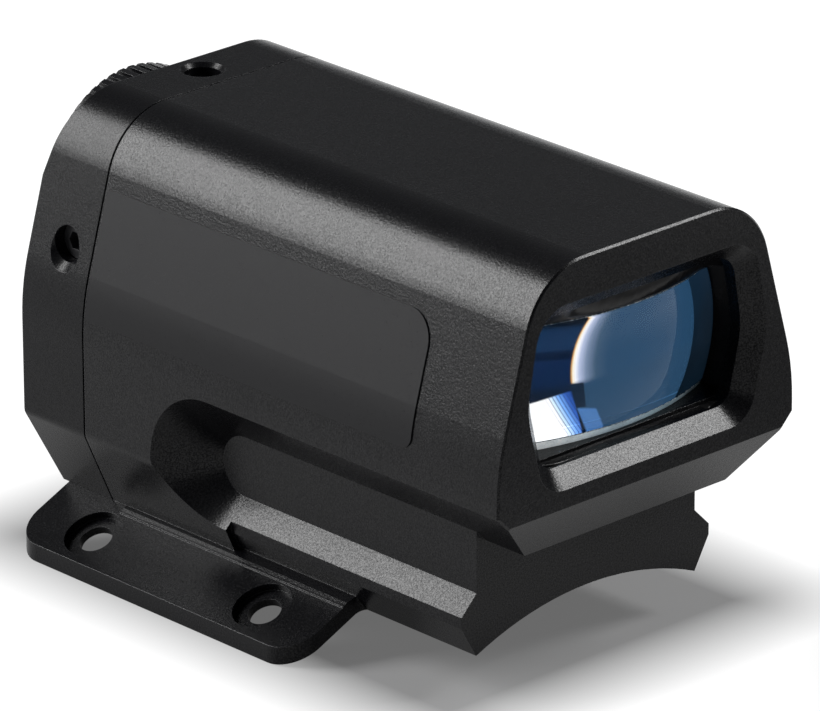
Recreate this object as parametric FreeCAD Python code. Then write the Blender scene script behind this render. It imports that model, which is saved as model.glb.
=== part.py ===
import FreeCAD, Part
import math
import os

V = FreeCAD.Vector

# Infrared illuminator for the curved top of a scope tube. Sizes are in millimetres.
# X is across, the light leaves along -Y, Z is up. The origin is on the crown of the saddle,
# midway between the four flange screw holes.

# Housing outline, seen from the front
body_width = 33.0
top_width = 24.0
top_z = 32.1
widest_z = 16.25
facet_front_z = 12.4
underside_z = 7.15
facet_rear_z = 5.0
lower_wall_x = 13.0
lower_wall_z = -2.8
shoulder_radius = 6.5
side_blend_radius = 20.0
lower_blend_radius = 1.5
edge_chamfer = 0.18

# Lengths along Y
holes_to_front = 37.35
housing_length = 49.0
foot_setback = 6.85
bevel_setback = 2.45
bevel_drop = 1.05
gasket_thickness = 0.2
cover_length = 7.5
cover_lean = 1.65
cover_lean_top_z = 25.3
cover_lean_low_z = 5.0

# Side groove, cut with a cutter that flares at 45 degrees
neck_half_width = 12.25
groove_axis_z = 5.5
groove_floor_radius = 2.65
groove_end_y = -3.3
foot_half_width = 13.9
foot_band = 0.95
foot_tip_x = 12.3

# Saddle and flanges
saddle_radius = 31.0
flange_angle = 24.0
flange_thickness = 1.4
flange_half_width = 20.0
flange_length = 34.5
flange_corner_radius = 3.0
flange_root_radius = 1.0
ledge_x = 14.0
ledge_width = 0.28
ledge_height = 0.163
ledge_lean = 0.268
ledge_margin = 0.17
ledge_step = 0.12
ledge_rear_y = 9.9
screw_spacing_y = 20.7
screw_hole_x = 17.0
screw_hole_diameter = 2.9
counterbore_diameter = 5.1
counterbore_depth = 0.7

# Window in the front face
axis_z = 20.65
window_half_top = 11.9
window_half_middle = 13.35
window_half_bottom = 11.5
window_top_z = 28.55
window_middle_z = 20.5
window_bottom_z = 12.9
window_top_radius = 3.4
window_middle_radius = 7.0
window_bottom_radius = 2.8
flare = 1.45
throat_depth = 1.15

# Lens, its bead and its ring
lens_radius = 12.4
lens_half_height = 4.95
lens_front_radius = 28.0
lens_vertex_depth = 2.2
lens_back_depth = 9.6
bead_width = 0.95
ring_length = 1.4
ring_bar = 1.9

# Walls inside
wall = 1.6
cavity_floor_z = 9.4
bay_half_width = 10.3
bay_floor_z = 2.4
cover_back_wall = 2.7

# Cover screws, M2
cover_screw_diameter = 2.0
cover_screw_head = 3.6
cover_screw_head_length = 1.4
cover_screw_length = 9.0
cover_screw_sink = 0.45
cover_boss_radius = 1.8
upper_screw_x = 10.2
upper_screw_z = 28.6
lower_screw_x = 13.2
lower_screw_z = 9.0

# Aiming stage, carried by the rear cover
run = 0.1
aim_travel = 0.5
stage_thickness = 3.0
frame_half_width = 9.0
frame_half_height = 6.4
frame_side_bar = 1.6
frame_top_bar = 2.7
frame_bottom_bar = 1.9
frame_corner_cut = 2.2
plate_thickness = 1.0
plate_half_width = 12.6
plate_half_height = 5.9
plate_window_half_width = 6.4
plate_window_top = 4.1
plate_window_low = 4.95
plate_screw_x = 10.9
plate_screw_z = 4.4
plate_screw_diameter = 1.6
plate_screw_length = 3.0

# Aiming screws, M3, each ending in a button held in a slot of what it moves
aim_screw_diameter = 3.0
aim_screw_length = 2.7
aim_screw_recess = 1.1
aim_neck_diameter = 1.6
aim_button_diameter = 2.6
aim_button_length = 1.0
aim_socket_flats = 1.5
aim_socket_depth = 1.2
thread_gap = 0.05

# Focus drive
spindle_diameter = 5.0
lead_diameter = 4.0
collar_diameter = 6.4
collar_length = 0.8
clip_diameter = 6.4
clip_thickness = 0.5
wall_hole_diameter = 7.2
focus_lead = 4.0
focus_turn = 165.0
lead_tip_gap = 0.27
knob_diameter = 18.9
knob_length = 4.8
knob_gap = 0.35
knob_flutes = 55
flute_width = 0.5
flute_depth = 0.4
knob_edge = 0.4
knob_dish_diameter = 13.6
knob_dish_depth = 0.5
knob_bore_depth = 3.9
knob_screw_diameter = 2.0
knob_screw_length = 4.5
ring_mean_radius = 5.5
ring_section = 1.3
ring_lift = 0.25

# Focus sled and light source
sled_half_width = 8.0
sled_half_height = 4.8
sled_rear_gap = 1.57
sled_length = 7.8
sled_thread_wall = 1.2
pin_diameter = 2.0
pin_x = 4.6
pin_drop = 3.15
pin_tip_gap = 0.97
pin_seat = 2.4
emitter_board_width = 14.0
emitter_board_height = 8.0
emitter_board_thickness = 1.2
emitter_size = 3.5
emitter_height = 0.9
emitter_dome_radius = 1.3
emitter_dome_sink = 0.5
board_screw_diameter = 1.6
board_screw_head = 2.8
board_screw_head_length = 0.8
emitter_screw_length = 3.2
emitter_screw_x = 5.8
emitter_screw_z = 2.7
emitter_socket_width = 3.0
emitter_socket_height = 1.6
emitter_socket_depth = 1.2
emitter_socket_wall = 0.35
emitter_socket_gap = 0.3

# Driver board in the bay under the light path
driver_width = 18.6
driver_length = 31.0
driver_thickness = 1.2
driver_front_depth = 12.5
driver_z = 5.2
driver_boss_radius = 2.0
driver_screw_inset = 2.3
driver_screw_length = 3.6
inductor_size = 5.0
inductor_height = 2.8
inductor_corner = 0.9
inductor_x = -4.0
inductor_from_edge = 9.0
chip_size = 4.0
chip_height = 0.9
chip_x = 4.0
chip_from_edge = 9.5
socket_length = 6.0
socket_width = 3.2
socket_height = 2.4
socket_wall = 0.5
socket_from_edge = 4.8

# Contacts to the scope, in the crown of the saddle
contact_body_width = 6.6
contact_body_length = 15.0
contact_flange = 1.0
contact_flange_thickness = 1.0
contact_recess = 0.3
contact_count = 4
contact_pitch = 3.2
contact_pad_diameter = 1.8
contact_pad_length = 0.6
contact_pin_diameter = 1.0
contact_offset_y = -8.0

# Side label
label_front_depth = 10.0
label_rear_gap = 0.3
label_top_z = 26.1
label_bottom_z = 15.4
label_thickness = 0.12
label_top_radius = 2.6
label_low_radius = 1.0

# Places worked out from the sizes above
front_y = -holes_to_front
seam_y = front_y + housing_length
cover_front_y = seam_y + gasket_thickness
back_y = cover_front_y + cover_length
foot_front_y = front_y + foot_setback
lens_z = axis_z
stage_back_y = back_y - cover_back_wall - run
stage_front_y = stage_back_y - stage_thickness
aim_y = stage_front_y + stage_thickness / 2
plate_back_y = stage_front_y - run
plate_front_y = plate_back_y - plate_thickness
knob_front_y = back_y + knob_gap
knob_back_y = knob_front_y + knob_length
pin_z = axis_z - pin_drop
sled_travel = focus_lead * focus_turn / 360
sled_back_y = plate_front_y - sled_travel - sled_rear_gap
sled_front_y = sled_back_y - sled_length
board_front_y = sled_front_y - emitter_board_thickness
flange_slope = math.tan(math.radians(flange_angle))
flange_rise = flange_thickness / math.cos(math.radians(flange_angle))
side_slope = (body_width - top_width) / 2 / (top_z - widest_z)


def corner(points, radii, place):
    """Closed wire through the points, each corner rounded by its radius."""
    count = len(points)
    edges = []
    ends = []
    for i in range(count):
        p = points[i]
        a = points[i - 1]
        b = points[(i + 1) % count]
        r = radii[i]
        if r <= 0:
            ends.append((p, p))
            continue
        la = math.hypot(a[0] - p[0], a[1] - p[1])
        lb = math.hypot(b[0] - p[0], b[1] - p[1])
        ua = ((a[0] - p[0]) / la, (a[1] - p[1]) / la)
        ub = ((b[0] - p[0]) / lb, (b[1] - p[1]) / lb)
        half = math.acos(max(-1.0, min(1.0, ua[0] * ub[0] + ua[1] * ub[1]))) / 2
        reach = r / math.tan(half)
        start = (p[0] + ua[0] * reach, p[1] + ua[1] * reach)
        end = (p[0] + ub[0] * reach, p[1] + ub[1] * reach)
        bis = (ua[0] + ub[0], ua[1] + ub[1])
        size = math.hypot(*bis)
        far = r / math.sin(half) - r
        middle = (p[0] + bis[0] / size * far, p[1] + bis[1] / size * far)
        edges.append(Part.Arc(place(*start), place(*middle), place(*end)).toShape())
        ends.append((start, end))
    for i in range(count):
        here = place(*ends[i][1])
        there = place(*ends[(i + 1) % count][0])
        if here.distanceToPoint(there) > 1e-6:
            edges.append(Part.makeLine(here, there))
    return Part.Wire(Part.__sortEdges__(edges))


def mirrored(right):
    """Outline points from the right half, listed from the top down."""
    return right + [(-x, z) for x, z in reversed(right)]


def inset(points, distance):
    """Points of the outline moved inward by a distance; the outline runs clockwise."""
    moved = []
    count = len(points)
    for i in range(count):
        a = points[i - 1]
        p = points[i]
        b = points[(i + 1) % count]
        d1 = (p[0] - a[0], p[1] - a[1])
        d2 = (b[0] - p[0], b[1] - p[1])
        l1 = math.hypot(*d1)
        l2 = math.hypot(*d2)
        n1 = (d1[1] / l1, -d1[0] / l1)
        n2 = (d2[1] / l2, -d2[0] / l2)
        scale = distance / (1 + n1[0] * n2[0] + n1[1] * n2[1])
        moved.append((p[0] + (n1[0] + n2[0]) * scale, p[1] + (n1[1] + n2[1]) * scale))
    return moved


def across(y):
    return lambda x, z: V(x, y, z)


def prism_y(points, radii, y0, y1):
    """Solid with its outline in X and Z, from y0 to y1."""
    face = Part.Face(corner(points, radii, across(y0)))
    return face.extrude(V(0, y1 - y0, 0))


def prism_x(points, radii, x0, x1):
    """Solid with its outline in Y and Z, from x0 to x1."""
    face = Part.Face(corner(points, radii, lambda y, z: V(x0, y, z)))
    return face.extrude(V(x1 - x0, 0, 0))


def prism_z(points, radii, z0, z1):
    """Solid with its outline in X and Y, from z0 to z1."""
    face = Part.Face(corner(points, radii, lambda x, y: V(x, y, z0)))
    return face.extrude(V(0, 0, z1 - z0))


def box(x0, x1, y0, y1, z0, z1):
    return Part.makeBox(x1 - x0, y1 - y0, z1 - z0, V(x0, y0, z0))


def rod(radius, start, end):
    axis = end - start
    return Part.makeCylinder(radius, axis.Length, start, axis)


def rod_y(diameter, x, z, y0, y1):
    return rod(diameter / 2, V(x, y0, z), V(x, y1, z))


def rod_z(diameter, x, y, z0, z1):
    return rod(diameter / 2, V(x, y, z0), V(x, y, z1))


def hexagon_rod(flats, start, end):
    """Six-sided bar between two points, for the sockets of screws."""
    axis = end - start
    side = V(1, 0, 0) if abs(axis.x) < abs(axis.z) + abs(axis.y) else V(0, 1, 0)
    other = axis.cross(side).normalize()
    corners = []
    for k in range(7):
        angle = math.radians(60 * k)
        radius = flats / math.sqrt(3)
        corners.append(start + side * (radius * math.cos(angle)) + other * (radius * math.sin(angle)))
    return Part.Face(Part.makePolygon(corners)).extrude(axis)


def union(first, others):
    for shape in others:
        first = first.fuse(shape)
    return first.removeSplitter()


def less(shape, cutters):
    for cutter in cutters:
        shape = shape.cut(cutter)
    return shape


def both_sides(shape):
    return [shape, shape.mirror(V(0, 0, 0), V(1, 0, 0))]


def side_x(z):
    """Half width of the sloping side at a height."""
    return body_width / 2 - (z - widest_z) * side_slope


# Outlines

def shoulder_points():
    return [(top_width / 2, top_z), (body_width / 2, widest_z)]


def nose_outline():
    under_half = body_width / 2 - (facet_front_z - underside_z)
    right = shoulder_points()
    right += [(body_width / 2, facet_front_z), (under_half, underside_z)]
    radii = [shoulder_radius, side_blend_radius, 0, 0]
    return mirrored(right), radii + radii[::-1]


def rear_outline():
    right = shoulder_points() + [(body_width / 2, facet_rear_z), (lower_wall_x, lower_wall_z)]
    radii = [shoulder_radius, side_blend_radius, lower_blend_radius, 0]
    return mirrored(right), radii + radii[::-1]


def cavity_outline():
    """Inside of the housing: the outline less the wall, down to the cavity floor."""
    low_x = body_width / 2 - (facet_front_z - underside_z)
    outer = shoulder_points() + [(body_width / 2, facet_front_z), (low_x, underside_z)]
    inner = inset(mirrored(outer), wall)[:4]
    foot_x = inner[2][0] - (inner[2][1] - cavity_floor_z)
    right = inner[:3] + [(foot_x, cavity_floor_z)]
    radii = [shoulder_radius - wall, side_blend_radius - wall, 0, 0]
    return mirrored(right), radii + radii[::-1]


def window_outline(shrink):
    right = [(window_half_top, window_top_z)]
    right += [(window_half_middle, window_middle_z), (window_half_bottom, window_bottom_z)]
    points = inset(mirrored(right), shrink)
    ease = min(1.2, shrink)
    radii = [window_top_radius - ease, window_middle_radius, window_bottom_radius - ease]
    return points, radii + radii[::-1]


def cut_disc(radius, half_height, y0, y1):
    """Round disc on the lens axis with its top and bottom cut flat."""
    disc = rod_y(2 * radius, 0, lens_z, y0, y1)
    return disc.common(box(-radius, radius, y0, y1, lens_z - half_height, lens_z + half_height))


def base_section():
    """Curved plate over the tube, running out into the two flat flanges."""
    lift = saddle_radius + flange_thickness
    angle = math.radians(flange_angle)
    tangent_x = lift * math.sin(angle)
    tangent_z = lift * math.cos(angle) - saddle_radius
    outer_top_z = tangent_z - (flange_half_width - tangent_x) * flange_slope
    outer_low_z = outer_top_z - flange_rise
    low_x = saddle_radius * math.sin(angle)
    low_z = saddle_radius * math.cos(angle) - saddle_radius
    crown = V(0, 0, flange_thickness)
    right = V(tangent_x, 0, tangent_z)
    left = V(-tangent_x, 0, tangent_z)
    deep = low_z - 1.0
    chain = [right, V(flange_half_width, 0, outer_top_z), V(flange_half_width, 0, outer_low_z)]
    chain += [V(low_x, 0, low_z), V(low_x - 1, 0, deep), V(-low_x + 1, 0, deep), V(-low_x, 0, low_z)]
    chain += [V(-flange_half_width, 0, outer_low_z), V(-flange_half_width, 0, outer_top_z), left]
    edges = [Part.makeLine(a, b) for a, b in zip(chain, chain[1:])]
    edges.append(Part.Arc(left, crown, right).toShape())
    return Part.Wire(edges)


def saddle_cutter(y0, y1):
    return rod_y(2 * saddle_radius, 0, -saddle_radius, y0, y1)


# Housing

def base_plate():
    """Both flanges in one curved plate, with a small round where each meets the foot in front."""
    half = flange_length / 2
    front = -half - 2 * flange_root_radius
    section = base_section()
    section.translate(V(0, front, 0))
    plate = Part.Face(section).extrude(V(0, half - front, 0))
    root_x = foot_tip_x - 0.1
    right = [(flange_half_width, half), (flange_half_width, -half), (root_x, -half), (root_x, front)]
    radii = [flange_corner_radius, flange_corner_radius, flange_root_radius, 0]
    return plate.common(prism_z(mirrored(right), radii + radii[::-1], -20, 20))


def flange_top_z(x):
    angle = math.radians(flange_angle)
    lift = saddle_radius + flange_thickness
    return lift * math.cos(angle) - saddle_radius - (x - lift * math.sin(angle)) * flange_slope


def ledge():
    """Narrow sloping ledge along the root of the flange, above a margin with a fine step."""
    low_x = ledge_x + ledge_width
    edge_x = low_x + ledge_margin
    top = flange_top_z(ledge_x) + ledge_height
    points = [(ledge_x - 1.0, top + ledge_lean), (ledge_x, top), (low_x, flange_top_z(low_x) + ledge_step)]
    points += [(edge_x, flange_top_z(edge_x) + ledge_step), (edge_x, flange_top_z(edge_x) - ledge_step)]
    points += [(ledge_x - 1.0, flange_top_z(ledge_x) - ledge_step)]
    return prism_y(points, [0] * 6, -flange_length / 2, ledge_rear_y)


def groove_cutter():
    """Space beside the foot: 45 degree flanks, closed at the rear by the cutter's own cone."""
    reach = body_width / 2 + 4
    rise = reach - neck_half_width
    top = groove_axis_z + groove_floor_radius
    low = groove_axis_z - groove_floor_radius
    flank = foot_half_width - neck_half_width
    band_z = low - flank - foot_band
    tip_z = math.sqrt(saddle_radius ** 2 - foot_tip_x ** 2) - saddle_radius
    run_out = (band_z - tip_z) / (foot_half_width - foot_tip_x)
    end_x = foot_tip_x - 1.0 / run_out
    points = [(neck_half_width, top), (reach, top + rise), (reach, tip_z - 1), (end_x, tip_z - 1)]
    points += [(foot_half_width, band_z), (foot_half_width, low - flank), (neck_half_width, low)]
    straight = prism_y(points, [0] * 7, foot_front_y - 1, groove_end_y)
    cone = Part.makeCone(groove_floor_radius, groove_floor_radius + rise, rise,
                         V(neck_half_width, groove_end_y, groove_axis_z), V(1, 0, 0))
    return straight.fuse(cone)


def nose_bevel():
    start_z = facet_front_z - bevel_drop
    far = front_y - 1
    slope = (start_z - underside_z) / bevel_setback
    points = [(far, start_z + slope), (front_y, start_z), (front_y + bevel_setback, underside_z)]
    points += [(front_y + bevel_setback + 1.0 / slope, underside_z - 1), (far, underside_z - 1)]
    return prism_x(points, [0] * 5, -body_width, body_width)


def window_cutter():
    wide, wide_radii = window_outline(0)
    narrow, narrow_radii = window_outline(flare)
    mouth = Part.makeLoft([corner(wide, wide_radii, across(front_y)),
                           corner(narrow, narrow_radii, across(front_y + flare))], True, True)
    throat = prism_y(narrow, narrow_radii, front_y + flare - 0.01, front_y + flare + throat_depth + 0.01)
    return mouth.fuse(throat)


def screw_places():
    upper = [(side * upper_screw_x, upper_screw_z) for side in (-1, 1)]
    lower = [(side * lower_screw_x, lower_screw_z) for side in (-1, 1)]
    return upper + lower


def head_seat_y(z):
    """Where the head of a cover screw sits, below the leaning or the upright back."""
    return leaning_back_y(z) - cover_screw_head_length - cover_screw_sink


def leaning_back_y(z):
    """The back face leans forward above and below its upright middle."""
    above = max(0.0, z - cover_lean_top_z) / (top_z - cover_lean_top_z)
    below = max(0.0, cover_lean_low_z - z) / (cover_lean_low_z - lower_wall_z)
    return back_y - cover_lean * (above + below)


def driver_screw_places():
    x = driver_width / 2 - driver_screw_inset
    y0 = front_y + driver_front_depth + driver_screw_inset
    y1 = front_y + driver_front_depth + driver_length - driver_screw_inset
    return [(side * x, y) for side in (-1, 1) for y in (y0, y1)]


def flange_hole(y):
    """Screw hole and counterbore square to the flange, on the right side."""
    angle = math.radians(flange_angle)
    normal = V(math.sin(angle), 0, math.cos(angle))
    top = V(screw_hole_x, y, flange_top_z(screw_hole_x))
    through = rod(screw_hole_diameter / 2, top - normal * 4, top + normal * 2)
    wide = rod(counterbore_diameter / 2, top - normal * counterbore_depth, top + normal * 2)
    return through.fuse(wide)


def pocket_back_depth():
    return lens_back_depth + ring_length


def housing():
    upper, upper_radii = nose_outline()
    rear, rear_radii = rear_outline()
    nose = prism_y(upper, upper_radii, front_y, foot_front_y + 0.5)
    rim = [e for e in nose.Edges if abs(e.BoundBox.YMax - front_y) < 1e-6]
    nose = nose.makeChamfer(edge_chamfer, rim)
    rest = prism_y(rear, rear_radii, foot_front_y, seam_y)
    shape = union(nose, [rest])
    shape = less(shape, both_sides(groove_cutter()) + [nose_bevel()])
    shape = union(shape, [base_plate()] + both_sides(ledge()))
    shape = shape.cut(saddle_cutter(foot_front_y - 1, flange_length / 2 + 1))
    return less(union(hollow(shape), driver_bosses()), housing_holes())


def hollow(shape):
    points, radii = cavity_outline()
    pocket_end = front_y + pocket_back_depth()
    pocket_start = front_y + flare + throat_depth
    wide = lens_radius + bead_width
    high = lens_half_height + bead_width
    pocket = cut_disc(wide, high, pocket_start, pocket_end + 0.1)
    cavity = prism_y(points, radii, pocket_end, seam_y + 1)
    for x, z in screw_places()[:2]:
        cavity = cavity.cut(rod_y(2 * cover_boss_radius, x, z, seam_y - cover_screw_length + 3, seam_y + 2))
    bay = box(-bay_half_width, bay_half_width, pocket_end, seam_y + 1, bay_floor_z, cavity_floor_z + 0.5)
    return less(shape, [window_cutter(), pocket, cavity, bay])


def driver_bosses():
    low = bay_floor_z - 0.2
    return [rod_z(2 * driver_boss_radius, x, y, low, driver_z) for x, y in driver_screw_places()]


def contact_window():
    half_x = contact_body_width / 2
    half_y = contact_body_length / 2
    return box(-half_x, half_x, contact_offset_y - half_y, contact_offset_y + half_y, -2, bay_floor_z + 0.1)


def housing_holes():
    cutters = [contact_window()]
    for y in (-screw_spacing_y / 2, screw_spacing_y / 2):
        cutters += both_sides(flange_hole(y))
    for x, z in screw_places():
        reach = head_seat_y(z) - cover_screw_length
        cutters.append(rod_y(cover_screw_diameter, x, z, reach - 0.5, seam_y + 1))
    for x, y in driver_screw_places():
        depth = driver_z + driver_thickness - driver_screw_length
        cutters.append(rod_z(board_screw_diameter, x, y, depth - 0.2, driver_z + 1))
    return cutters


# Rear cover and its seal

def cover_blank():
    rear, rear_radii = rear_outline()
    body = prism_y(rear, rear_radii, cover_front_y, back_y)
    for start, end in ((cover_lean_top_z, top_z), (cover_lean_low_z, lower_wall_z)):
        lean = [(back_y, start), (back_y - cover_lean, end), (back_y + 5, end)]
        body = body.cut(prism_x(lean, [0] * 3, -body_width, body_width))
    plate = rod_y(2 * (saddle_radius + flange_thickness), 0, -saddle_radius, seam_y - 1, back_y + 1)
    top = flange_top_z(lower_wall_x) - 0.6
    below = box(-body_width, body_width, seam_y - 1, back_y + 1, lower_wall_z - 5, top)
    return less(body, [plate, below] + both_sides(flange_shadow()))


def flange_shadow():
    """Space that the flange takes under the cover's lower corner."""
    angle = math.radians(flange_angle)
    x0 = (saddle_radius + flange_thickness) * math.sin(angle)
    points = [(x0, flange_top_z(x0)), (flange_half_width, flange_top_z(flange_half_width))]
    points += [(flange_half_width, lower_wall_z - 4), (x0, lower_wall_z - 4)]
    return prism_y(points, [0] * 4, seam_y - 1, back_y + 1)


def rear_cover():
    blank = cover_blank()
    points, radii = cavity_outline()
    room = prism_y(points, radii, cover_front_y - 1, stage_back_y + run)
    floor_room = box(-bay_half_width, bay_half_width, cover_front_y - 1, stage_back_y + run,
                     bay_floor_z + 1.4, cavity_floor_z + 0.5)
    rail_low = axis_z - plate_half_height
    rail_high = axis_z + plate_half_height
    for side in (-1, 1):
        inner = side * (frame_half_width + run)
        outer = side * body_width / 2
        room = room.cut(box(min(inner, outer), max(inner, outer), plate_back_y, back_y, rail_low, rail_high))
    for x, z in screw_places()[:2]:
        room = room.cut(rod_y(2 * cover_boss_radius, x, z, seam_y, back_y))
    boss_low = axis_z + frame_half_height + aim_travel + 0.5
    boss = rod_z(aim_screw_diameter + 2.4, 0, aim_y, boss_low, top_z)
    boss = boss.common(box(-5, 5, plate_back_y, back_y, boss_low, top_z))
    room = room.cut(boss)
    return less(blank, [room, floor_room] + cover_holes())


def aim_hole(start, end):
    """Tapped hole of an aiming screw, with a countersunk mouth at its outer end."""
    radius = aim_screw_diameter / 2 + thread_gap
    hole = rod(radius, start, end)
    out = (end - start).normalize()
    return hole, out, radius


def cover_holes():
    cutters = []
    up, out, radius = aim_hole(V(0, aim_y, axis_z), V(0, aim_y, top_z + 1))
    cutters.append(up)
    mouth = 0.35
    cutters.append(Part.makeCone(radius, radius + 2 * mouth, 2 * mouth, V(0, aim_y, top_z - mouth), out))
    side_face = side_x(axis_z)
    left, out, radius = aim_hole(V(-frame_half_width + 2, aim_y, axis_z), V(-side_face - 1, aim_y, axis_z))
    cutters.append(left)
    wide = radius + 2 * mouth
    cutters.append(Part.makeCone(radius, wide, 2 * mouth, V(-side_face + 0.1, aim_y, axis_z), out))
    cutters.append(rod_y(wall_hole_diameter, 0, axis_z, stage_front_y, back_y + 1))
    for x, z in screw_places():
        seat = head_seat_y(z)
        cutters.append(rod_y(cover_screw_diameter + 0.2, x, z, seam_y - 1, back_y + 1))
        cutters.append(rod_y(cover_screw_head + 0.3, x, z, seat, back_y + 1))
    for x, z in plate_screw_places():
        end = plate_front_y + plate_screw_length + 0.2
        cutters.append(rod_y(plate_screw_diameter, x, z, plate_back_y - 1, end))
    return cutters


def rear_gasket():
    """Thin flat seal set in from the outside, so that it shows as a dark line."""
    rear, rear_radii = rear_outline()
    outer_radii = [max(0.0, r - 0.3) for r in rear_radii]
    outer = prism_y(inset(rear, 0.3), outer_radii, seam_y, cover_front_y)
    points, radii = cavity_outline()
    inner = prism_y(points, radii, seam_y - 1, cover_front_y + 1)
    low = box(-bay_half_width, bay_half_width, seam_y - 1, cover_front_y + 1, bay_floor_z + 1.4,
              cavity_floor_z + 0.5)
    plate = rod_y(2 * (saddle_radius + flange_thickness), 0, -saddle_radius, seam_y - 1, cover_front_y + 1)
    below = box(-body_width, body_width, seam_y - 1, cover_front_y + 1, lower_wall_z - 5, -0.4)
    cutters = [inner, low, plate, below]
    for x, z in screw_places():
        cutters.append(rod_y(cover_screw_diameter + 0.2, x, z, seam_y - 1, cover_front_y + 1))
    seal = less(outer, cutters)
    for x, z in screw_places()[:2]:
        ear = rod_y(2 * cover_boss_radius, x, z, seam_y, cover_front_y)
        ear = ear.cut(rod_y(cover_screw_diameter + 0.2, x, z, seam_y - 1, cover_front_y + 1))
        seal = seal.fuse(ear.common(outer))
    return seal


def cap_screw(diameter, head, head_length, length, socket, seat, along):
    """Socket screw: the head lies behind the seat, the shank runs on along the axis."""
    shank = rod(diameter / 2, seat, seat + along * length)
    top = rod(head / 2, seat - along * head_length, seat)
    key = hexagon_rod(socket, seat - along * (head_length + 0.1), seat - along * (head_length * 0.4))
    return shank.fuse(top).cut(key)


def cover_screws():
    screws = []
    for x, z in screw_places():
        screws.append(cap_screw(cover_screw_diameter, cover_screw_head, cover_screw_head_length,
                                cover_screw_length, 1.5, V(x, head_seat_y(z), z), V(0, -1, 0)))
    return Part.makeCompound(screws)


# Light path

def lens():
    """Convex front, flat back, with the top and bottom cut flat."""
    vertex_y = front_y + lens_vertex_depth
    blank = cut_disc(lens_radius, lens_half_height, vertex_y, front_y + lens_back_depth)
    ball = Part.makeSphere(lens_front_radius, V(0, vertex_y + lens_front_radius, lens_z))
    return blank.common(ball)


def lens_seal():
    """Bead of black sealant that fills the space round the lens in its pocket."""
    start = front_y + flare + throat_depth
    end = front_y + lens_back_depth
    outer = cut_disc(lens_radius + bead_width, lens_half_height + bead_width, start, end)
    return outer.cut(cut_disc(lens_radius, lens_half_height, start - 1, end + 1))


def lens_retainer():
    start = front_y + lens_back_depth
    end = start + ring_length
    ring = cut_disc(lens_radius + bead_width, lens_half_height + bead_width, start, end)
    hole = cut_disc(lens_radius - ring_bar, lens_half_height + bead_width - ring_bar, start - 1, end + 1)
    return ring.cut(hole)


# Aiming stage

def frame_window():
    low = axis_z - frame_half_height + frame_bottom_bar
    high = axis_z + frame_half_height - frame_top_bar
    return low, high


def button_top_z():
    low, high = frame_window()
    return high + 0.7 + aim_button_length


def elevation_frame():
    """Frame that slides up and down between the cover's rails."""
    w = frame_half_width
    c = frame_corner_cut
    top = axis_z + frame_half_height
    low = axis_z - frame_half_height
    points = [(w - c, top), (w, top - c), (w, low), (-w, low), (-w, top - c), (-w + c, top)]
    body = prism_y(points, [0] * 6, stage_front_y, stage_back_y)
    window_low, window_high = frame_window()
    inner = w - frame_side_bar
    body = body.cut(box(-inner, inner, stage_front_y - 1, stage_back_y + 1, window_low, window_high))
    neck = aim_neck_diameter / 2 + run
    button = aim_button_diameter / 2 + run
    body = body.cut(box(-neck, neck, aim_y - neck, stage_back_y + 1, button_top_z(), top + 1))
    body = body.cut(box(-button, button, aim_y - button, stage_back_y + 1,
                        button_top_z() - aim_button_length - run, button_top_z() + run))
    tall = neck + aim_travel
    return body.cut(box(-w - 1, -inner + 0.5, aim_y - neck, stage_back_y + 1, axis_z - tall, axis_z + tall))


def windage_block():
    """Block that slides sideways in the frame and carries the spindle and the guide pins."""
    window_low, window_high = frame_window()
    half = frame_half_width - frame_side_bar - aim_travel - run
    body = box(-half, half, stage_front_y, stage_back_y, window_low + run / 2, window_high - run / 2)
    neck = aim_neck_diameter / 2 + run
    button = aim_button_diameter / 2 + run
    start = -half
    cutters = [rod_y(spindle_diameter + 2 * thread_gap, 0, axis_z, stage_front_y - 1, stage_back_y + 1)]
    clip_start = stage_back_y - clip_thickness - 2 * run
    cutters.append(rod_y(clip_diameter + 0.6, 0, axis_z, clip_start, stage_back_y + 1))
    cutters.append(box(start - 1, start + 0.8, aim_y - neck, stage_back_y + 1,
                       axis_z - neck - aim_travel, axis_z + neck + aim_travel))
    cutters.append(box(start + 0.7, start + 0.9 + aim_button_length + run, aim_y - button, stage_back_y + 1,
                       axis_z - button - aim_travel, axis_z + button + aim_travel))
    for side in (-1, 1):
        cutters.append(rod_y(pin_diameter, side * pin_x, pin_z, stage_front_y - 1, stage_front_y + pin_seat))
    return less(body, cutters)


def windage_button_x():
    half = frame_half_width - frame_side_bar - aim_travel - run
    return -half + 0.8 + run / 2


def aim_screw(outer, out, neck_end, button_end):
    """Set screw with a hexagon socket, a neck and a button at its inner end."""
    body = rod(aim_screw_diameter / 2, outer - out * aim_screw_length, outer)
    neck = rod(aim_neck_diameter / 2, neck_end, outer - out * aim_screw_length)
    button = rod(aim_button_diameter / 2, button_end, neck_end)
    key = hexagon_rod(aim_socket_flats, outer + out * 0.1, outer - out * aim_socket_depth)
    return body.fuse([neck, button]).removeSplitter().cut(key)


def elevation_screw():
    outer = V(0, aim_y, top_z - aim_screw_recess)
    neck_end = V(0, aim_y, button_top_z())
    return aim_screw(outer, V(0, 0, 1), neck_end, neck_end - V(0, 0, aim_button_length))


def windage_screw():
    outer = V(-side_x(axis_z) + aim_screw_recess, aim_y, axis_z)
    neck_end = V(windage_button_x(), aim_y, axis_z)
    return aim_screw(outer, V(-1, 0, 0), neck_end, neck_end + V(aim_button_length, 0, 0))


def plate_screw_places():
    return [(sx * plate_screw_x, axis_z + sz * plate_screw_z) for sx in (-1, 1) for sz in (-1, 1)]


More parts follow.
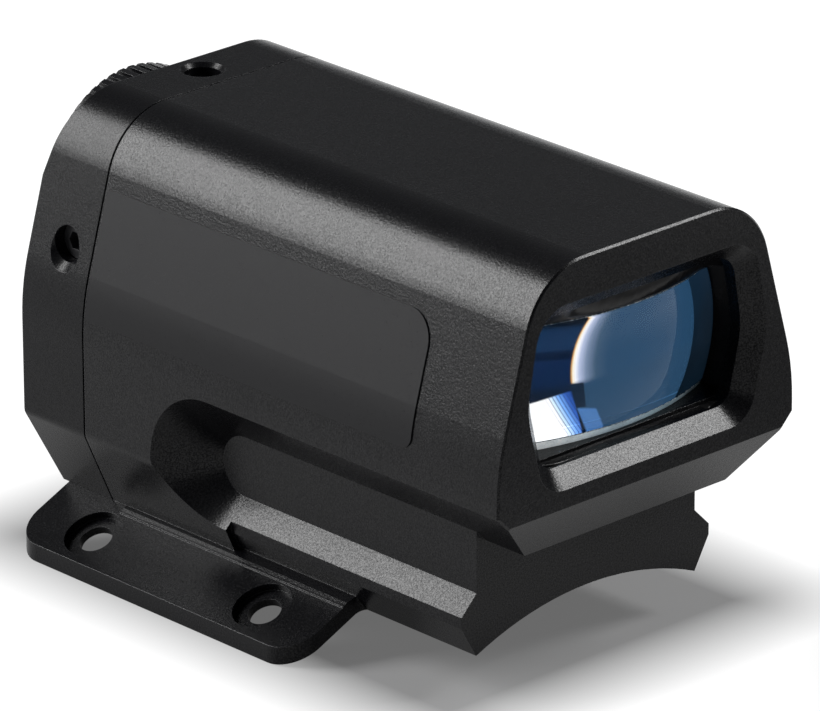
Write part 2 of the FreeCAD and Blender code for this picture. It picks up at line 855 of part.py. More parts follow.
def guide_plate():
    """Plate on the cover's rails that keeps the stage from coming forward."""
    w = plate_half_width
    h = plate_half_height
    points = [(w - 1.4, axis_z + h), (w, axis_z - h), (-w, axis_z - h), (-w + 1.4, axis_z + h)]
    plate = prism_y(points, [1.0] * 4, plate_front_y, plate_back_y)
    ww = plate_window_half_width
    high = axis_z + plate_window_top
    low = axis_z - plate_window_low
    window = [(ww, high), (ww, low), (-ww, low), (-ww, high)]
    plate = plate.cut(prism_y(window, [0.8] * 4, plate_front_y - 1, plate_back_y + 1))
    for x, z in plate_screw_places():
        plate = plate.cut(rod_y(plate_screw_diameter + 0.1, x, z, plate_front_y - 1, plate_back_y + 1))
    return plate


def guide_plate_screws():
    screws = []
    for x, z in plate_screw_places():
        screws.append(cap_screw(plate_screw_diameter, 2.6, 0.6, plate_screw_length, 0.9,
                                V(x, plate_front_y, z), V(0, 1, 0)))
    return Part.makeCompound(screws)


# Focus drive

def focus_spindle():
    tip_y = sled_front_y + sled_thread_wall + sled_travel + lead_tip_gap
    collar_back = stage_front_y - run / 2
    collar_front = collar_back - collar_length
    end_y = knob_front_y + knob_bore_depth
    shape = rod_y(lead_diameter, 0, axis_z, tip_y, collar_front)
    shape = union(shape, [rod_y(collar_diameter, 0, axis_z, collar_front, collar_back),
                          rod_y(spindle_diameter, 0, axis_z, collar_back, end_y)])
    groove_y = clip_front_y()
    ring = rod_y(spindle_diameter + 2, 0, axis_z, groove_y, groove_y + clip_thickness)
    ring = ring.cut(rod_y(spindle_diameter - 0.8, 0, axis_z, groove_y - 1, groove_y + clip_thickness + 1))
    return shape.cut(ring)


def clip_front_y():
    return stage_back_y - clip_thickness - run


def spindle_clip():
    """Open clip in the spindle's groove, in the counterbore of the windage block."""
    y0 = clip_front_y()
    y1 = y0 + clip_thickness
    clip = rod_y(clip_diameter, 0, axis_z, y0, y1)
    clip = clip.cut(rod_y(spindle_diameter - 0.8, 0, axis_z, y0 - 1, y1 + 1))
    return clip.cut(box(-1.5, 1.5, y0 - 1, y1 + 1, axis_z - clip_diameter, axis_z))


def focus_knob():
    """Fluted knob with a shallow dish in its end face."""
    radius = knob_diameter / 2
    body = rod_y(knob_diameter, 0, axis_z, knob_front_y, knob_back_y)
    rims = [e for e in body.Edges if e.Length > 6 * radius]
    body = body.makeChamfer(knob_edge, rims)
    dish = rod_y(knob_dish_diameter, 0, axis_z, knob_back_y - knob_dish_depth, knob_back_y + 1)
    bore = rod_y(spindle_diameter, 0, axis_z, knob_front_y - 1, knob_front_y + knob_bore_depth)
    seat = Part.makeTorus(ring_mean_radius, ring_section / 2, V(0, ring_y(), axis_z), V(0, 1, 0))
    groove = rod_y(2 * ring_mean_radius + ring_section, 0, axis_z, knob_front_y - 1, ring_y())
    groove = groove.cut(rod_y(2 * ring_mean_radius - ring_section, 0, axis_z, knob_front_y - 2, ring_y() + 1))
    start = V(0, knob_screw_y(), axis_z)
    end = V(0, knob_screw_y(), axis_z - radius - 1)
    screw = rod(knob_screw_diameter / 2, start, end)
    body = less(body, [dish, bore, seat, groove, screw])
    flute = box(-flute_width / 2, flute_width / 2, knob_front_y - 1, knob_back_y + 1,
                axis_z + radius - flute_depth, axis_z + radius + 1)
    flutes = []
    for k in range(knob_flutes):
        turned = flute.copy()
        turned.rotate(V(0, 0, axis_z), V(0, 1, 0), (k + 0.5) * 360.0 / knob_flutes)
        flutes.append(turned)
    return body.cut(Part.makeCompound(flutes))


def ring_y():
    return knob_front_y + ring_section / 2 - ring_lift


def knob_screw_y():
    return knob_front_y + knob_bore_depth - 1.3


def knob_seal():
    return Part.makeTorus(ring_mean_radius, ring_section / 2, V(0, ring_y(), axis_z), V(0, 1, 0))


def knob_set_screw():
    inner = V(0, knob_screw_y(), axis_z - spindle_diameter / 2)
    outer = inner - V(0, 0, knob_screw_length)
    body = rod(knob_screw_diameter / 2, inner, outer)
    return body.cut(hexagon_rod(0.9, outer - V(0, 0, 0.1), outer + V(0, 0, 1.2)))


def guide_pins():
    pins = []
    for side in (-1, 1):
        tip_y = sled_front_y + sled_travel + pin_tip_gap
        pins.append(rod_y(pin_diameter, side * pin_x, pin_z, tip_y, stage_front_y + pin_seat))
    return Part.makeCompound(pins)


def focus_sled():
    """Nut block that rides on the two pins and is moved by the spindle's lead screw."""
    y0 = sled_front_y
    y1 = sled_back_y
    w = sled_half_width
    h = sled_half_height
    points = [(w, axis_z + h), (w, axis_z - h), (-w, axis_z - h), (-w, axis_z + h)]
    body = prism_y(points, [1.0] * 4, y0, y1)
    cutters = [rod_y(lead_diameter + 2 * thread_gap, 0, axis_z, y0 + sled_thread_wall, y1 + 1)]
    for side in (-1, 1):
        cutters.append(rod_y(pin_diameter + 2 * thread_gap, side * pin_x, pin_z, y0 - 1, y1 + 1))
    for x, z in emitter_screw_places():
        cutters.append(rod_y(board_screw_diameter, x, z, y0 - 1, y0 + emitter_screw_length))
    return less(body, cutters)


# Light source

def emitter_screw_places():
    return [(-emitter_screw_x, axis_z + emitter_screw_z), (emitter_screw_x, axis_z + emitter_screw_z)]


def emitter_board():
    y0 = board_front_y
    y1 = sled_front_y
    w = emitter_board_width / 2
    h = emitter_board_height / 2
    points = [(w, axis_z + h), (w, axis_z - h), (-w, axis_z - h), (-w, axis_z + h)]
    board = prism_y(points, [0.8] * 4, y0, y1)
    for x, z in emitter_screw_places():
        board = board.cut(rod_y(board_screw_diameter + 0.1, x, z, y0 - 1, y1 + 1))
    return board


def emitter():
    """Square package with a low clear dome."""
    y1 = board_front_y
    y0 = y1 - emitter_height
    half = emitter_size / 2
    base = box(-half, half, y0, y1, axis_z - half, axis_z + half)
    ball = Part.makeSphere(emitter_dome_radius, V(0, y0 + emitter_dome_sink, axis_z))
    low = y0 - emitter_dome_radius
    high = y0 + emitter_height / 4
    cap = ball.common(box(-half, half, low, high, axis_z - half, axis_z + half))
    return base.fuse(cap).removeSplitter()


def emitter_socket():
    y1 = board_front_y
    half = emitter_socket_width / 2
    z1 = axis_z - emitter_size / 2 - emitter_socket_gap
    z0 = z1 - emitter_socket_height
    t = emitter_socket_wall
    body = box(-half, half, y1 - emitter_socket_depth, y1, z0, z1)
    return body.cut(box(-half + t, half - t, y1 - emitter_socket_depth + t, y1 - t, z0 - t, z1 - t))


def emitter_board_screws():
    screws = []
    y0 = board_front_y
    for x, z in emitter_screw_places():
        screws.append(cap_screw(board_screw_diameter, board_screw_head - 0.4, board_screw_head_length,
                                emitter_screw_length, 0.9, V(x, y0, z), V(0, 1, 0)))
    return Part.makeCompound(screws)


# Electronics bay

def driver_board():
    y0 = front_y + driver_front_depth
    y1 = y0 + driver_length
    w = driver_width / 2
    corners = [(w, y1), (w, y0), (-w, y0), (-w, y1)]
    board = prism_z(corners, [1.0] * 4, driver_z, driver_z + driver_thickness)
    for x, y in driver_screw_places():
        board = board.cut(rod_z(board_screw_diameter + 0.1, x, y, driver_z - 1, driver_z + 3))
    return board


def driver_top():
    return driver_z + driver_thickness


def driver_inductor():
    """Wound power inductor in a square case with cut corners."""
    half = inductor_size / 2
    y = front_y + driver_front_depth + inductor_from_edge
    cut = inductor_corner
    points = [(half - cut, half), (half, half - cut), (half, -half + cut), (half - cut, -half)]
    points += [(-half + cut, -half), (-half, -half + cut), (-half, half - cut), (-half + cut, half)]
    points = [(px + inductor_x, py + y) for px, py in points]
    return prism_z(points, [0] * 8, driver_top(), driver_top() + inductor_height)


def driver_chip():
    half = chip_size / 2
    y = front_y + driver_front_depth + chip_from_edge
    return box(chip_x - half, chip_x + half, y - half, y + half, driver_top(), driver_top() + chip_height)


def driver_socket():
    y1 = front_y + driver_front_depth + driver_length - socket_from_edge
    y0 = y1 - socket_width
    half = socket_length / 2
    t = socket_wall
    body = box(-half, half, y0, y1, driver_top(), driver_top() + socket_height)
    floor = driver_top() + t
    roof = driver_top() + socket_height - t
    return body.cut(box(-half + t, half - t, y0 + 2 * t, y1 + t, floor, roof))


def driver_board_screws():
    screws = []
    for x, y in driver_screw_places():
        screws.append(cap_screw(board_screw_diameter, board_screw_head, board_screw_head_length,
                                driver_screw_length, 0.9, V(x, y, driver_top()), V(0, 0, -1)))
    return Part.makeCompound(screws)


def contact_places():
    start = contact_offset_y - contact_pitch * (contact_count - 1) / 2
    return [start + contact_pitch * k for k in range(contact_count)]


def contact_block():
    """Insulator that drops into the floor from inside, with a rim that stops it."""
    half_x = contact_body_width / 2
    half_y = contact_body_length / 2
    y = contact_offset_y
    body = box(-half_x, half_x, y - half_y, y + half_y, contact_recess, bay_floor_z)
    rim = box(-half_x - contact_flange, half_x + contact_flange, y - half_y - contact_flange,
              y + half_y + contact_flange, bay_floor_z, bay_floor_z + contact_flange_thickness)
    shape = body.fuse(rim)
    for place in contact_places():
        shape = shape.cut(rod_z(contact_pin_diameter, 0, place, -1, driver_z))
        depth = contact_recess + contact_pad_length - 0.2
        shape = shape.cut(rod_z(contact_pad_diameter, 0, place, -1, depth))
    return shape.removeSplitter()


def contact_pins():
    """Plated pads, just inside the saddle's surface, with pins up to the driver board."""
    pins = []
    low = contact_recess - 0.2
    for place in contact_places():
        pad = rod_z(contact_pad_diameter, 0, place, low, low + contact_pad_length)
        pins.append(pad.fuse(rod_z(contact_pin_diameter, 0, place, low + contact_pad_length, driver_z))
                    .removeSplitter())
    return Part.makeCompound(pins)


# Label

def side_label():
    """Thin label that follows the left side of the housing, with round front corners."""
    points, radii = nose_outline()
    y0 = front_y + label_front_depth
    y1 = seam_y - label_rear_gap
    grown = inset(points, -label_thickness)
    grown_radii = [r + label_thickness if r > 0 else 0 for r in radii]
    skin = prism_y(grown, grown_radii, y0, y1).cut(prism_y(points, radii, y0 - 1, y1 + 1))
    plan = [(y0, label_top_z), (y1, label_top_z), (y1, label_bottom_z), (y0, label_bottom_z)]
    stamp = prism_x(plan, [label_top_radius, 0.4, 0.4, label_low_radius], -body_width, 0)
    return skin.common(stamp)


NODES = {
    "housing": housing,
    "rear_cover": rear_cover,
    "rear_gasket": rear_gasket,
    "cover_screws": cover_screws,
    "lens": lens,
    "lens_seal": lens_seal,
    "lens_retainer": lens_retainer,
    "guide_plate": guide_plate,
    "guide_plate_screws": guide_plate_screws,
    "elevation_frame": elevation_frame,
    "windage_block": windage_block,
    "elevation_screw": elevation_screw,
    "windage_screw": windage_screw,
    "focus_spindle": focus_spindle,
    "spindle_clip": spindle_clip,
    "focus_knob": focus_knob,
    "knob_seal": knob_seal,
    "knob_set_screw": knob_set_screw,
    "guide_pins": guide_pins,
    "focus_sled": focus_sled,
    "emitter_board": emitter_board,
    "emitter": emitter,
    "emitter_socket": emitter_socket,
    "emitter_board_screws": emitter_board_screws,
    "driver_board": driver_board,
    "driver_inductor": driver_inductor,
    "driver_chip": driver_chip,
    "driver_socket": driver_socket,
    "driver_board_screws": driver_board_screws,
    "contact_block": contact_block,
    "contact_pins": contact_pins,
    "side_label": side_label,
}

os.makedirs("parts", exist_ok=True)
for name, make in NODES.items():
    shape = make()
    shape.exportStep("parts/" + name + ".step")
    state = "valid" if shape.isValid() else "INVALID"
    print(name, len(shape.Solids), "solids", round(shape.Volume, 2), "mm3", state)
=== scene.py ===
import bpy
from math import cos, pi, radians, sin, sqrt
from mathutils import Matrix, Vector, noise


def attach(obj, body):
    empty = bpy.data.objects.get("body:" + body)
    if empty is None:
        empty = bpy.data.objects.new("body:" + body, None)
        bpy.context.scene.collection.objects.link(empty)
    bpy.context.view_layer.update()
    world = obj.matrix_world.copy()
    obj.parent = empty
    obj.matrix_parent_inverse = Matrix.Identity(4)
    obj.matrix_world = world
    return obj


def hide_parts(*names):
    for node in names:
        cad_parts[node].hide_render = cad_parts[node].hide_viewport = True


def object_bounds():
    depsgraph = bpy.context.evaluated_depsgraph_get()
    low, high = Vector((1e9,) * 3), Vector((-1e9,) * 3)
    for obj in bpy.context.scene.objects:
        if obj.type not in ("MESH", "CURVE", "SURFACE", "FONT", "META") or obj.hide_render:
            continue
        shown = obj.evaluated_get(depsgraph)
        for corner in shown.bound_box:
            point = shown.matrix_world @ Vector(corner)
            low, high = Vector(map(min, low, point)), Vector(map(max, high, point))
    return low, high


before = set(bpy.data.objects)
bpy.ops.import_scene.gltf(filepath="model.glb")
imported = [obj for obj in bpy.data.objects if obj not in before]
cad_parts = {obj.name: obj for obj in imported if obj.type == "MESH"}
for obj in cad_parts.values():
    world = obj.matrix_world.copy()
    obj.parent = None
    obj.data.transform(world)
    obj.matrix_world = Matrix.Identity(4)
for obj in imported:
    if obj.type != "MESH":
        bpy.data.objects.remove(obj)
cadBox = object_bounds()
print("frame loaded:", len(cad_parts), "nodes")


# camera, floor and lights

photoCamera = {
    "azimuth": -43.24,          # degrees round the object, from the front
    "elevation": 21.82,
    "roll": -0.21,
    "target": (0, -0.03735, 0.01624),
    "distance": 0.629475,
    "aside": -0.018851,         # metres off the target, to the right and up in the picture
    "above": 0.005111,
    "lens": 349.81,             # focal length in millimetres
}

stage = {
    "floorSize": 12.0,
    "floorGap": 0.00004,        # below the flanges' lowest edges
    "floorColor": (0.11, 0.11, 0.111),
    "fibre": 900, "fibreDark": 0.985, "floorRough": 0.8, "floorGloss": 0.1,
    "floorGlow": 0.92,
    "paintedShadowGlow": 0.15,          # painted shadow: share of the glow left right under the object
    "paintedShadowShare": 0.8,          # of the footprint, from where the glow comes back
    "paintedShadowFade": 0.010,
    "shadePatchAside": 0.067,          # middle of a painted shade patch, to the right of the picture
    "shadePatchWide": 0.052, "shadePatchDeep": 0.080,
    "shadePatchFade": (0.30, 1.06),
    "shadePatchGlow": 0.30,
    "skyTint": (0.96, 0.98, 1.0, 1),
    "skyBand": (0.05, 0.12),    # height over which the bright horizon fades
    "skyLow": 0.95,             # brightness at the horizon and higher up
    "skyHigh": 0.17,
}

softboxes = {
    "shoulderBox": {             # long box behind the left shoulder
        "toward": (-0.55, 0.676, 0.49), "along": (0.707, 0.0, 0.707),
        "aim": (-0.012, -0.010, 0.028),
        "away": 0.9, "size": (0.80, 0.36), "watts": 18.5,
    },
    "flareBox": {                # high at the front right, for the window's lower lip
        "toward": (0.64, -0.37, 0.68), "along": (0.5, 0.866, 0.0), "aim": (0.0, -0.036, 0.014),
        "away": 0.9, "size": (0.30, 0.30), "watts": 8.7,
    },
}


def aimCamera(facts):
    a = radians(facts["azimuth"])
    e = radians(facts["elevation"])
    r = radians(facts["roll"])
    back = Vector((sin(a) * cos(e), -cos(a) * cos(e), sin(e)))
    right = Vector((cos(a), sin(a), 0))
    up = back.cross(right)
    turnedRight = right * cos(r) + up * sin(r)
    turnedUp = up * cos(r) - right * sin(r)
    place = Vector(facts["target"]) + back * facts["distance"]
    place += turnedRight * facts["aside"] + turnedUp * facts["above"]
    camera = bpy.data.objects.new("photoCamera", bpy.data.cameras.new("photoCamera"))
    turn = Matrix((turnedRight, turnedUp, back)).transposed().to_4x4()
    camera.matrix_world = Matrix.Translation(place) @ turn
    camera.data.sensor_width = 36
    camera.data.lens = facts["lens"]
    camera.data.clip_start = 0.01
    camera.data.clip_end = 50
    bpy.context.scene.collection.objects.link(camera)
    bpy.context.scene.camera = camera


def addSoftbox(name, facts):
    lamp = bpy.data.lights.new(name, "AREA")
    lamp.shape = "RECTANGLE"
    lamp.size, lamp.size_y = facts["size"]
    lamp.energy = facts["watts"]
    box = bpy.data.objects.new(name, lamp)
    toward = Vector(facts["toward"]).normalized()
    along = Vector(facts["along"])
    along = (along - toward * along.dot(toward)).normalized()
    turn = Matrix((along, toward.cross(along), toward)).transposed().to_4x4()
    box.matrix_world = Matrix.Translation(Vector(facts["aim"]) + toward * facts["away"]) @ turn
    box.visible_transmission = False        # no glare through the lens
    bpy.context.scene.collection.objects.link(box)


# nodes

def nodesOf(tree):
    def make(kind, inputs=None, **settings):
        made = tree.nodes.new(kind)
        for key, value in settings.items():
            setattr(made, key, value)
        for key, value in (inputs or {}).items():
            if isinstance(value, bpy.types.NodeSocket):
                tree.links.new(value, made.inputs[key])
            else:
                made.inputs[key].default_value = value
        return made
    return make


def newMaterial(name):
    material = bpy.data.materials.new(name)
    material.use_nodes = True
    tree = material.node_tree
    tree.nodes.clear()
    make = nodesOf(tree)
    shader = make("ShaderNodeBsdfPrincipled")
    make("ShaderNodeOutputMaterial", {"Surface": shader.outputs[0]})
    place = make("ShaderNodeTexCoord").outputs["Object"]

    def feed(socket, source):
        if isinstance(source, bpy.types.NodeSocket):
            tree.links.new(source, shader.inputs[socket])
        else:
            shader.inputs[socket].default_value = source
    return material, make, feed, place


def blendOf(make, factor, low, high):
    ramp = make("ShaderNodeValToRGB", {"Fac": factor})
    ramp.color_ramp.elements[0].color = (*low, 1)
    ramp.color_ramp.elements[1].color = (*high, 1)
    return ramp.outputs["Color"]


def rangeOf(make, value, low, high, toLow, toHigh):
    inputs = {"Value": value, "From Min": low, "From Max": high, "To Min": toLow, "To Max": toHigh}
    return make("ShaderNodeMapRange", inputs).outputs["Result"]


def stepOf(make, value, low, high):
    return rangeOf(make, value, low, high, 0.0, 1.0)


def mathOf(make, operation, first, second=0.0):
    return make("ShaderNodeMath", {0: first, 1: second}, operation=operation).outputs[0]


def timesOf(make, first, second):
    return mathOf(make, "MULTIPLY", first, second)


def lessOf(make, first, second):
    return mathOf(make, "SUBTRACT", first, second)


def slantOf(make, x, z, slant):
    # a straight run over the plane: slant holds its rise per x, per z and its start
    perX, perZ, start = slant
    risen = mathOf(make, "ADD", timesOf(make, x, perX), timesOf(make, z, perZ))
    return mathOf(make, "ADD", risen, start)


def lengthOf(make, x, z):
    return mathOf(make, "SQRT", mathOf(make, "ADD", timesOf(make, x, x), timesOf(make, z, z)))


def blendedOf(make, first, second, share):
    # two textures in one, share of the first
    return mathOf(make, "ADD", timesOf(make, first, share), timesOf(make, second, 1 - share))


def mixOf(make, factor, first, second):
    mix = make("ShaderNodeMix", {0: factor}, data_type="RGBA")
    for index, value in ((6, first), (7, second)):
        if isinstance(value, bpy.types.NodeSocket):
            mix.id_data.links.new(value, mix.inputs[index])
        else:
            mix.inputs[index].default_value = (*value, 1)
    return mix.outputs[2]


def noiseOf(make, place, scale, detail=2.0, rough=0.5):
    inputs = {"Vector": place, "Scale": scale, "Detail": detail, "Roughness": rough}
    return make("ShaderNodeTexNoise", inputs).outputs["Fac"]


def bumpOf(make, height, distance, strength=1.0, normal=None):
    inputs = {"Strength": strength, "Distance": distance, "Height": height}
    if normal is not None:
        inputs["Normal"] = normal
    return make("ShaderNodeBump", inputs).outputs["Normal"]


def buildSky():
    world = bpy.data.worlds.new("studio")
    bpy.context.scene.world = world
    world.use_nodes = True
    world.node_tree.nodes.clear()
    make = nodesOf(world.node_tree)
    direction = make("ShaderNodeTexCoord").outputs["Generated"]
    height = make("ShaderNodeSeparateXYZ", {"Vector": direction}).outputs["Z"]
    sky = rangeOf(make, height, *stage["skyBand"], stage["skyLow"], stage["skyHigh"])
    light = make("ShaderNodeBackground", {"Color": stage["skyTint"], "Strength": sky})
    make("ShaderNodeOutputWorld", {"Surface": light.outputs[0]})


def floorGlowWithPaintedShade(make, x, y):
    # the floor glows evenly, with a painted shadow under the object
    middle = (cadBox[0] + cadBox[1]) / 2
    half = (cadBox[1] - cadBox[0]) / 2
    gaps = []
    for value, at, reach in ((x, middle.x, half.x), (y, middle.y, half.y)):
        aside = mathOf(make, "ABSOLUTE", lessOf(make, value, at))
        gaps.append(mathOf(make, "MAXIMUM", lessOf(make, aside, reach * stage["paintedShadowShare"])))
    away = lengthOf(make, *gaps)
    under = rangeOf(make, away, 0.0, stage["paintedShadowFade"], stage["paintedShadowGlow"], 1.0)
    # a painted shade patch out of the picture keeps the glass and the front face from mirroring the
    # bright floor
    turn = radians(photoCamera["azimuth"])
    wide = stage["shadePatchWide"]
    deep = stage["shadePatchDeep"]
    ahead = lessOf(make, y, cadBox[0].y)
    right = slantOf(make, x, ahead, (cos(turn) / wide, sin(turn) / wide, -stage["shadePatchAside"] / wide))
    front = slantOf(make, x, ahead, (sin(turn) / deep, -cos(turn) / deep, 0.0))
    dim = rangeOf(make, lengthOf(make, right, front), *stage["shadePatchFade"], stage["shadePatchGlow"], 1.0)
    return timesOf(make, timesOf(make, under, dim), stage["floorGlow"])


def buildFloor():
    half = stage["floorSize"] / 2
    z = cadBox[0].z - stage["floorGap"]
    corners = [(-half, -half, z), (half, -half, z), (half, half, z), (-half, half, z)]
    mesh = bpy.data.meshes.new("floor")
    mesh.from_pydata(corners, [], [(0, 1, 2, 3)])
    floor = bpy.data.objects.new("floor", mesh)
    bpy.context.scene.collection.objects.link(floor)
    material, make, feed, place = newMaterial("palePaper")
    base = stage["floorColor"]
    dark = tuple(c * stage["fibreDark"] for c in base)
    feed("Base Color", blendOf(make, noiseOf(make, place, stage["fibre"], 4, 0.6), dark, base))
    feed("Roughness", stage["floorRough"])
    feed("Specular IOR Level", stage["floorGloss"])
    split = make("ShaderNodeSeparateXYZ", {"Vector": place})
    feed("Emission Color", (1, 1, 1, 1))
    feed("Emission Strength", floorGlowWithPaintedShade(make, split.outputs["X"], split.outputs["Y"]))
    mesh.materials.append(material)


bpy.context.scene.view_settings.view_transform = "Standard"
aimCamera(photoCamera)
buildSky()
buildFloor()
for boxName, boxFacts in softboxes.items():
    addSoftbox(boxName, boxFacts)
print("camera, floor and lights set")


# finishes

# grain and height: its fineness and depth; facets: darkest tint of the sheen; soft: radius of the
# rounded edges; edge: tone of the painted edge highlight and wear; specks: a few bits of lint
anodisedLooks = {
    "blastedBlack": {                # milled body, bead-blasted
        "dark": (0.0010, 0.0010, 0.0013), "light": (0.0026, 0.0026, 0.0032), "gloss": 0.185,
        "rough": (0.22, 0.30), "grain": 5400, "height": 0.000018, "facets": 0.30, "soft": 0.00007,
        "edge": (0.030, 0.030, 0.033), "specks": True,
    },
    "satinBlack": {                  # rear cover
        "dark": (0.0010, 0.0010, 0.0013), "light": (0.0024, 0.0024, 0.0030), "gloss": 0.135,
        "rough": (0.24, 0.30), "grain": 5800, "height": 0.000012, "facets": 0.45, "soft": 0.00008,
        "edge": (0.030, 0.030, 0.033), "specks": False,
    },
    "turnedBlack": {                 # knob
        "dark": (0.0018, 0.0018, 0.0022), "light": (0.0040, 0.0040, 0.0048), "gloss": 0.195,
        "rough": (0.22, 0.30), "grain": 5800, "height": 0.000010, "facets": 0.5, "soft": 0.00006,
        "edge": (0.045, 0.045, 0.050), "specks": False,
    },
    "innerBlack": {
        "dark": (0.004, 0.004, 0.005), "light": (0.008, 0.008, 0.009), "gloss": 0.10,
        "rough": (0.5, 0.6), "grain": 5200, "height": 0.000012, "facets": 0.7, "soft": 0.00005,
        "edge": (0.020, 0.020, 0.022), "specks": False,
    },
}

speckleLook = {
    "cloud": 190, "grainShare": 0.75, "colorBand": (0.32, 0.68), "roughBand": (0.3, 0.7),
    "fineness": 1.5, "facetBand": (0.40, 0.60),
}

edgeHighlightAndWearLook = {"turn": (0.985, 0.88), "patches": 2600}     # where an edge turns, and how patchy it is

lintLook = {"cells": 150.0, "size": 0.010, "rare": 0.72, "tone": (0.30, 0.30, 0.31)}


def lintOf(make, place):
    cells = make("ShaderNodeTexVoronoi", {"Vector": place, "Scale": lintLook["cells"]})
    small = mathOf(make, "LESS_THAN", cells.outputs["Distance"], lintLook["size"])
    shade = make("ShaderNodeSeparateColor", {"Color": cells.outputs["Color"]}).outputs[0]
    return timesOf(make, small, mathOf(make, "GREATER_THAN", shade, lintLook["rare"]))


def anodised(name, look):
    material, make, feed, place = newMaterial(name)
    grain = noiseOf(make, place, look["grain"], 2.0, 0.6)
    cloud = noiseOf(make, place, speckleLook["cloud"], 3, 0.55)
    speckle = blendedOf(make, grain, cloud, speckleLook["grainShare"])
    color = blendOf(make, stepOf(make, speckle, *speckleLook["colorBand"]), look["dark"], look["light"])
    # edges are rounded in the shading, and painted paler where they turn: a painted edge highlight and
    # some wear
    rounded = make("ShaderNodeBevel", {"Radius": look["soft"]}, samples=4).outputs["Normal"]
    flat = make("ShaderNodeNewGeometry").outputs["Normal"]
    match = make("ShaderNodeVectorMath", {0: rounded, 1: flat}, operation="DOT_PRODUCT").outputs["Value"]
    patches = noiseOf(make, place, edgeHighlightAndWearLook["patches"], 3, 0.65)
    paleEdgeHighlightAndWear = timesOf(make, stepOf(make, match, *edgeHighlightAndWearLook["turn"]), patches)
    color = mixOf(make, paleEdgeHighlightAndWear, color, look["edge"])
    if look["specks"]:
        color = mixOf(make, lintOf(make, place), color, lintLook["tone"])
    feed("Base Color", color)
    feed("Roughness", rangeOf(make, speckle, *speckleLook["roughBand"], *look["rough"]))
    feed("Specular IOR Level", look["gloss"])
    fine = noiseOf(make, place, look["grain"] * speckleLook["fineness"], 2.0, 0.6)
    feed("Specular Tint", rangeOf(make, fine, *speckleLook["facetBand"], look["facets"], 1.0))
    feed("Normal", bumpOf(make, grain, look["height"], 1.0, rounded))
    return material


plainLooks = {
    # colour low, colour high, roughness low, high, metal, specular, texture scale, texture height
    "blackOxide": ((0.006, 0.006, 0.007), (0.012, 0.012, 0.013), 0.30, 0.42, 0.0, 0.2, 6500, 0.000005),
    "sealRubber": ((0.006, 0.006, 0.006), (0.010, 0.010, 0.010), 0.55, 0.7, 0.0, 0.3, 9000, 0.000006),
    "brightSteel": ((0.42, 0.42, 0.42), (0.58, 0.58, 0.57), 0.22, 0.36, 1.0, 0.5, 5200, 0.000004),
    "machinedBrass": ((0.50, 0.34, 0.13), (0.66, 0.47, 0.20), 0.22, 0.36, 1.0, 0.5, 5200, 0.000004),
    "machinedAluminium": ((0.46, 0.46, 0.47), (0.62, 0.62, 0.63), 0.26, 0.40, 1.0, 0.5, 5200, 0.000004),
    "boardGreen": ((0.006, 0.055, 0.022), (0.012, 0.085, 0.035), 0.3, 0.42, 0.0, 0.5, 3600, 0.000008),
    "darkResin": ((0.020, 0.012, 0.016), (0.034, 0.022, 0.028), 0.08, 0.14, 0.0, 0.5, 2000, 0.000002),
    "ivoryPlastic": ((0.60, 0.57, 0.48), (0.70, 0.67, 0.58), 0.42, 0.55, 0.0, 0.4, 7000, 0.000005),
    "ferriteGrey": ((0.020, 0.020, 0.022), (0.042, 0.042, 0.045), 0.5, 0.7, 0.0, 0.4, 5200, 0.000012),
    "chipBlack": ((0.010, 0.010, 0.010), (0.020, 0.020, 0.020), 0.45, 0.6, 0.0, 0.4, 9000, 0.000006),
    "contactBlack": ((0.010, 0.010, 0.011), (0.018, 0.018, 0.019), 0.42, 0.55, 0.0, 0.4, 7000, 0.000006),
    "contactGold": ((0.62, 0.42, 0.13), (0.76, 0.55, 0.22), 0.18, 0.32, 1.0, 0.5, 5200, 0.000003),
}

plainTexture = {
    "cloud": 420, "grainShare": 0.6, "colorBand": (0.33, 0.67), "roughBand": (0.3, 0.7),
    "soft": 0.00005, "bump": 0.8,
}


def plainFinish(name, low, high, roughLow, roughHigh, metal, gloss, scale, height):
    material, make, feed, place = newMaterial(name)
    grain = noiseOf(make, place, scale, 3, 0.6)
    cloud = noiseOf(make, place, plainTexture["cloud"], 2, 0.5)
    mixed = blendedOf(make, grain, cloud, plainTexture["grainShare"])
    feed("Base Color", blendOf(make, stepOf(make, mixed, *plainTexture["colorBand"]), low, high))
    feed("Roughness", rangeOf(make, mixed, *plainTexture["roughBand"], roughLow, roughHigh))
    feed("Metallic", metal)
    feed("Specular IOR Level", gloss)
    rounded = make("ShaderNodeBevel", {"Radius": plainTexture["soft"]}, samples=4).outputs["Normal"]
    feed("Normal", bumpOf(make, grain, height, plainTexture["bump"], rounded))
    return material


labelLook = {
    "dark": (0.0022, 0.0022, 0.0027), "light": (0.0034, 0.0034, 0.0041),
    "rough": (0.27, 0.33), "roughBand": (0.3, 0.7), "gloss": 0.135,
    "weave": 5200, "height": 0.0000035, "waves": 150, "ripple": 0.000012,
}


def labelFilm(name, look):
    material, make, feed, place = newMaterial(name)
    fine = noiseOf(make, place, look["weave"], 3, 0.6)
    feed("Base Color", blendOf(make, fine, look["dark"], look["light"]))
    feed("Roughness", rangeOf(make, fine, *look["roughBand"], *look["rough"]))
    feed("Specular IOR Level", look["gloss"])
    wave = bumpOf(make, noiseOf(make, place, look["waves"], 1, 0.4), look["ripple"])
    feed("Normal", bumpOf(make, fine, look["height"], 1.0, wave))
    return material


finishes = {name: anodised(name, look) for name, look in anodisedLooks.items()}
finishes.update({name: plainFinish(name, *look) for name, look in plainLooks.items()})
finishes["labelFilm"] = labelFilm("labelFilm", labelLook)

